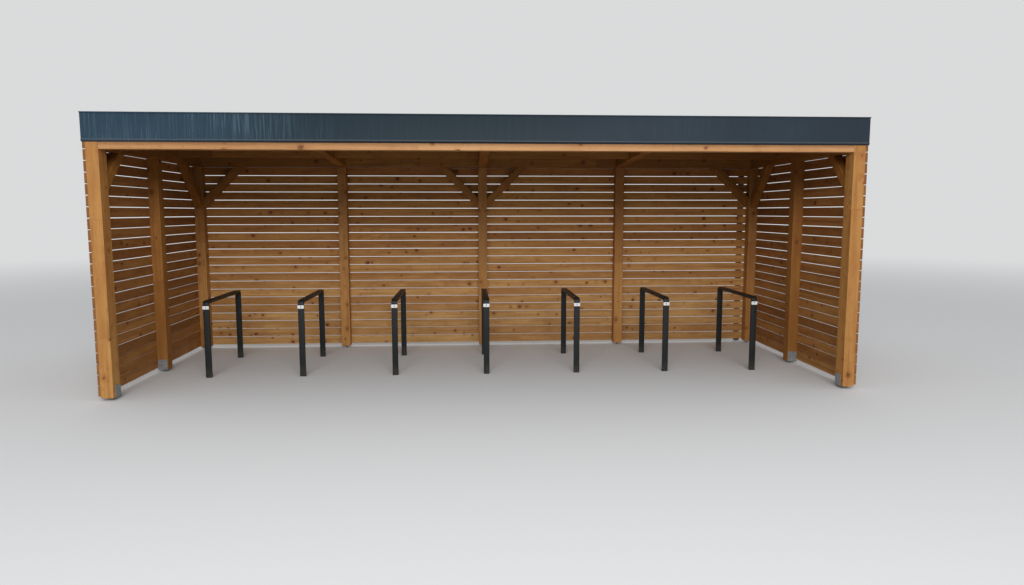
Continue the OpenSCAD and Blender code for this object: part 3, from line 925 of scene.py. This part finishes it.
def foldedTrim(node, run, outward, drip):
    low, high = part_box(node)
    look = fascia
    cap = look["cap"]
    # outline of the outer side as (depth behind the outer plane, height), from the face's lower edge up
    face = look["step"] if drip else look["endStep"]
    foot = low.z + (look["kick"] if drip else 0.0)
    crown = high.z - look["lip"]
    upward = [(0.0, crown), (0.0, high.z), (cap, high.z), (cap, high.z - look["capDrop"])]
    downward = [(0.0, low.z + look["nose"]), (look["hem"], low.z)]
    plane = low.y if run == "X" else (high.x if outward > 0 else low.x)
    inward = 1 if run == "X" else -outward

    def spot(depth, height):
        return (0, plane + depth, height) if run == "X" else (plane + inward * depth, 0, height)
    length = high.x - low.x if run == "X" else high.y - low.y
    middle = Vector(spot(face, (foot + crown) / 2)) + \
        Vector(((low.x + high.x) / 2, 0, 0) if run == "X" else (0, (low.y + high.y) / 2, 0))
    piece = added(camel(node) + "Sheet", bpy.ops.mesh.primitive_plane_add, size=1, location=middle,
                  rotation=(math.pi / 2, 0, 0 if run == "X" else math.pi / 2))
    piece.scale = (length, crown - foot, 1)
    applyPlace(piece)
    chains = [(upward, (face, crown))] + ([(downward, (face, foot))] if drip else [])
    for chain, start in chains:
        openEdit(piece, edgeTest=lambda a, b: abs(a.z - start[1]) < 1e-5 and abs(b.z - start[1]) < 1e-5)
        last = Vector(spot(*start))
        for point in chain:
            extrude(Vector(spot(*point)) - last)
            last = Vector(spot(*point))
        closeEdit()
    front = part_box("front_fascia")[0].y       # lips and caps are mitred, the faces meet behind the lips
    for vertex in piece.data.vertices:
        depth = abs((vertex.co.y if run == "X" else vertex.co.x) - plane)
        onFace, onHem = abs(depth - face) < look["near"], abs(depth - look["hem"]) < look["near"]
        if run == "X":
            inset = look["hemInset"] if onHem else look["joint"] + (look["endStep"] if onFace else depth)
            vertex.co.x = (low.x + inset) if vertex.co.x < 0 else (high.x - inset)
        elif vertex.co.y < (low.y + high.y) / 2:
            vertex.co.y = front + look["joint"] + (look["step"] if onFace else depth)
    for end in (-1, 1) if drip else ():       # the folded drip is closed at its ends
        openEdit(piece, edgeTest=lambda a, b: (min(a.x * end, b.x * end) > high.x - look["endReach"]
                                               and max(a.z, b.z) < foot + look["near"]))
        bpy.ops.mesh.edge_face_add()
        closeEdit()
    cleaned(piece)
    outer = max(piece.data.polygons, key=lambda f: f.area)
    away = Vector((0, -1, 0)) if run == "X" else Vector((outward, 0, 0))
    if outer.normal.dot(away) < 0:            # the face must look outwards before it gets its thickness
        openEdit(piece)
        bpy.ops.mesh.flip_normals()
        closeEdit()
    finishWith(piece, "SOLIDIFY", thickness=look["sheet"], offset=-1.0)
    chamfer(piece, look["fold"], 2, 25)
    smooth(piece, 30)
    addPiece(piece, fasciaSteel, "trim_steel", node)


foldedTrim("front_fascia", "X", 0, True)
foldedTrim("left_fascia", "Y", -1, False)
foldedTrim("right_fascia", "Y", 1, False)
screw = hexScrew(fascia["screwScale"])
low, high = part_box("front_fascia")
places = [low.x + fascia["screwEnd"]]
while places[-1] + fascia["screwStep"] < high.x - fascia["screwEnd"] * 3:
    places.append(places[-1] + fascia["screwStep"])
places.append(high.x - fascia["screwEnd"])
heads = [twin(screw, (x, low.y + fascia["step"], low.z + fascia["screwUp"]), (0, -1, 0)) for x in places]
addPiece(joined("fasciaScrews", heads), inkPaint, "trim_steel")
print("fascia folded")


# edge boards behind the sheet

edgeBoards = {"chamfer": 0.002, "lift": 0.0075}
for node, run in (("front_edge_board", "X"), ("end_edge_boards", "Y")):
    parts = []
    for low, high in solidsOf(node):
        if run == "X":
            low.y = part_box("front_fascia")[0].y + fascia["step"] + fascia["sheet"]
            low.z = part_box("front_fascia")[0].z + edgeBoards["lift"]
        part = block("edgePart", low, high)
        chamfer(part, edgeBoards["chamfer"])
        markGrain(part, (1, 0, 0) if run == "X" else (0, 1, 0), (0, 0, 1))
        parts.append(part)
    addPiece(joined(camel(node) + "Timber", parts), timberPost, "timber", node)


# roof screws in the valleys of the sheet, in a line over each timber

roofScrews = {"ribs": 34, "up": 0.0012, "lines": ("front_beam", "front_purlin", "rear_purlin", "rear_beam")}
low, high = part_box("roof_sheet")
slopeTurn = Vector((0, slope, 1)).normalized()
heads = []
pitch = (high.x - low.x) / roofScrews["ribs"]
for node in roofScrews["lines"]:
    lineLow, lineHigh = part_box(node)
    y = (lineLow.y + lineHigh.y) / 2
    for i in range(1, roofScrews["ribs"]):
        heads.append(twin(screw, (low.x + i * pitch, y, roofAt(y) + roofScrews["up"]), slopeTurn))
drop(screw)
addPiece(joined("roofScrews", heads), screwSteel, "galvanised_steel")
print("roof screws made")


# gutter trim: rolled edge, straps, outlet and pipe sockets

gutterTrim = {"bead": 0.008, "beadEdge": 0.002, "straps": 8, "strapInset": 0.20, "strapWide": 0.025,
              "strapThick": 0.003, "strapEdge": 0.0008, "strapToBead": 1.4, "bite": 0.0005,
              "socket": 0.004, "socketTall": 0.055, "socketHeight": 1.170, "ring": 0.006, "ringOut": 0.0016,
              "ringEdge": 0.0006, "lugIn": 0.002, "lugOut": 0.016, "lugHalf": 0.006, "lugEdge": 0.0015,
              "boltOut": 0.009, "boltScale": 0.5}
gutterLow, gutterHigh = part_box("gutter")
pipeLow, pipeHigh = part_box("downpipe")


def pipeSocket(low, high, inner, outer):
    # a short socket round the pipe: a tube with a thicker ring at its upper end
    look = gutterTrim
    centre = (pipeLow + pipeHigh) / 2
    piece = added("pipeSocket", bpy.ops.mesh.primitive_cylinder_add, vertices=40, radius=outer,
                  depth=high - low, end_fill_type="NOTHING", location=(centre.x, centre.y, (low + high) / 2))
    applyPlace(piece)
    openEdit(piece)
    bpy.ops.mesh.bisect(plane_co=(0, 0, high - look["ring"]), plane_no=(0, 0, 1))
    closeEdit()
    openEdit(piece, lambda place, normal: place.z > high - look["ring"])
    wide = 1 + look["ringOut"] / outer
    bpy.ops.transform.resize(value=(wide, wide, 1), center_override=(centre.x, centre.y, high))
    closeEdit()
    finishWith(piece, "SOLIDIFY", thickness=outer - inner, offset=-1.0)
    chamfer(piece, look["ringEdge"], 2, 50)
    smooth(piece, 40)
    return piece


def makeGutterTrim():
    look = gutterTrim
    radius = (pipeHigh.x - pipeLow.x) / 2
    bead = rod("bead", (0, gutterHigh.y - look["bead"], gutterHigh.z - look["bead"]), look["bead"],
               gutterHigh.x - gutterLow.x, "X", 20)
    chamfer(bead, look["beadEdge"], 2, 50)
    smooth(bead, 40)
    parts = [bead]
    wide = look["strapWide"] / 2
    first = block("strap", (-wide, gutterLow.y + look["bite"], gutterHigh.z - look["strapThick"]),
                  (wide, gutterHigh.y - look["bead"] * look["strapToBead"], gutterHigh.z))
    chamfer(first, look["strapEdge"], 1)
    smooth(first, 30)
    start, span = gutterLow.x + look["strapInset"], gutterHigh.x - gutterLow.x - 2 * look["strapInset"]
    for i in range(look["straps"]):
        parts.append(twin(first, (start + i * span / (look["straps"] - 1), 0, 0)))
    drop(first)
    for low in (gutterLow.z - look["socketTall"], look["socketHeight"]):
        high = low + look["socketTall"]
        parts.append(pipeSocket(low, high, radius - look["bite"], radius + look["socket"]))
    for low, high in solidsOf("downpipe_clips"):   # a lug with a bolt on each side of a band
        middle = (low + high) / 2
        centreY = (pipeLow.y + pipeHigh.y) / 2
        for side in (-1, 1):
            edge = middle.x + side * (high.x - low.x) / 2
            near, far = sorted((edge - side * look["lugIn"], edge + side * look["lugOut"]))
            lug = block("lug", (near, centreY - look["lugHalf"], low.z),
                        (far, centreY + look["lugHalf"], high.z))
            chamfer(lug, look["lugEdge"])
            smooth(lug, 30)
            parts.append(lug)
            bolt = hexScrew(look["boltScale"])
            spot = (edge + side * look["boltOut"], centreY + look["lugHalf"], middle.z)
            parts.append(twin(bolt, spot, (0, 1, 0)))
            drop(bolt)
    addPiece(joined("gutterTrimParts", parts), fasciaSteel, "trim_steel")


makeGutterTrim()
print("gutter trim made")


# metal nodes whose shape is right keep it and get their finish

for node, material in (("roof_sheet", roofSteel), ("gutter", fasciaSteel), ("downpipe", fasciaSteel),
                       ("downpipe_clips", fasciaSteel)):
    nodes[node].data.materials.clear()
    nodes[node].data.materials.append(material)
print("metal finishes set")


# floor, light and camera: rays from the camera see a pale room, all others see its plain light

stage = {"pale": (0.70, 0.705, 0.71, 1), "floorSeen": (0.72, 0.725, 0.73, 1),
         "floorLit": (0.40, 0.395, 0.375, 1), "floorSize": 400, "fadeFrom": 7.0, "fadeTo": 26.0,
         "roomHigh": (0.62, 0.63, 0.64, 1), "roomLow": (0.58, 0.58, 0.58, 1), "roomRise": 0.7,
         "key": 1100.0, "keyPlace": (-0.2, -13.0, 6.5), "keyAim": (0, 0, 1.0), "keySize": (9.0, 5.0)}
floor = added("paleFloor", bpy.ops.mesh.primitive_plane_add, size=stage["floorSize"], location=(0, 0, 0))


def rayIsSeen(s):                             # camera, glossy and transmission rays
    path = s.node("ShaderNodeLightPath")
    outs = path.socket.node.outputs
    camera, glossy, through = [Flow(s, outs[label]) for label in
                               ("Is Camera Ray", "Is Glossy Ray", "Is Transmission Ray")]
    return camera.do("MAXIMUM", glossy.do("MAXIMUM", through))


def floorMaterial():
    s = Bench("paleFloorPaint")
    far = s.node("ShaderNodeVectorMath", {"operation": "LENGTH"}, {0: s.place()}, out=1)
    speck = s.noise(s.place(), 220.0, 2.0, 0.6)
    seen = s.mix(speck.span(0.3, 0.7) * 0.12, stage["floorSeen"], stage["floorLit"])
    matt = s.node("ShaderNodeBsdfDiffuse", None, {"Color": s.mix(rayIsSeen(s), stage["floorLit"], seen)})
    glow = s.node("ShaderNodeEmission", None, {"Color": stage["pale"], "Strength": 1.0})
    faded = far.span(stage["fadeFrom"], stage["fadeTo"]) * rayIsSeen(s)
    s.end(s.node("ShaderNodeMixShader", None, {0: faded, 1: matt, 2: glow}))
    return s.material


def roomMaterial():
    world = bpy.data.worlds.new("paleRoom")
    bpy.context.scene.world = world
    s = Bench("paleRoom", world)
    height = s.split(s.node("ShaderNodeTexCoord", out=0))[2]
    light = s.mix(height.span(0.0, stage["roomRise"]), stage["roomLow"], stage["roomHigh"])
    plain = s.node("ShaderNodeBackground", None, {"Color": stage["pale"], "Strength": 1.0})
    soft = s.node("ShaderNodeBackground", None, {"Color": light, "Strength": 1.0})
    s.end(s.node("ShaderNodeMixShader", None, {0: rayIsSeen(s), 1: soft, 2: plain}), "ShaderNodeOutputWorld")


floor.data.materials.append(floorMaterial())
roomMaterial()


def lamp(name, place, aim, size, power):
    data = bpy.data.lights.new(name, "AREA")
    data.shape = "RECTANGLE"
    data.size, data.size_y = size
    data.energy = power
    obj = bpy.data.objects.new(name, data)
    bpy.context.scene.collection.objects.link(obj)
    obj.location = place
    obj.rotation_euler = (Vector(aim) - Vector(place)).to_track_quat("-Z", "Y").to_euler()


lamp("frontSoftbox", stage["keyPlace"], stage["keyAim"], stage["keySize"], stage["key"])

view = {"focal": 721.54, "place": (-0.19267, -6.55342, 1.68809), "yaw": 0.06168, "pitch": 0.11081,
        "roll": -0.00086, "frameWidth": 1024, "sensor": 36.0, "clip": 1000.0}
cameraData = bpy.data.cameras.new("photoView")
camera = bpy.data.objects.new("photoView", cameraData)
bpy.context.scene.collection.objects.link(camera)
bpy.context.scene.camera = camera
cameraData.sensor_fit = "HORIZONTAL"
cameraData.sensor_width = view["sensor"]
cameraData.lens = view["sensor"] * view["focal"] / view["frameWidth"]
cameraData.clip_end = view["clip"]
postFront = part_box("front_post_left")[0].y
camera.location = (view["place"][0], view["place"][1] + postFront, view["place"][2])
ahead = Vector((math.sin(view["yaw"]) * math.cos(view["pitch"]),
                math.cos(view["yaw"]) * math.cos(view["pitch"]), -math.sin(view["pitch"])))
right = Vector((math.cos(view["yaw"]), -math.sin(view["yaw"]), 0))
up = right.cross(ahead)
right, up = (right * math.cos(view["roll"]) + up * math.sin(view["roll"]),
             up * math.cos(view["roll"]) - right * math.sin(view["roll"]))
camera.rotation_euler = Matrix((right, up, -ahead)).transposed().to_euler()

bpy.context.scene.view_settings.view_transform = "Standard"
print("stage, light and camera set")
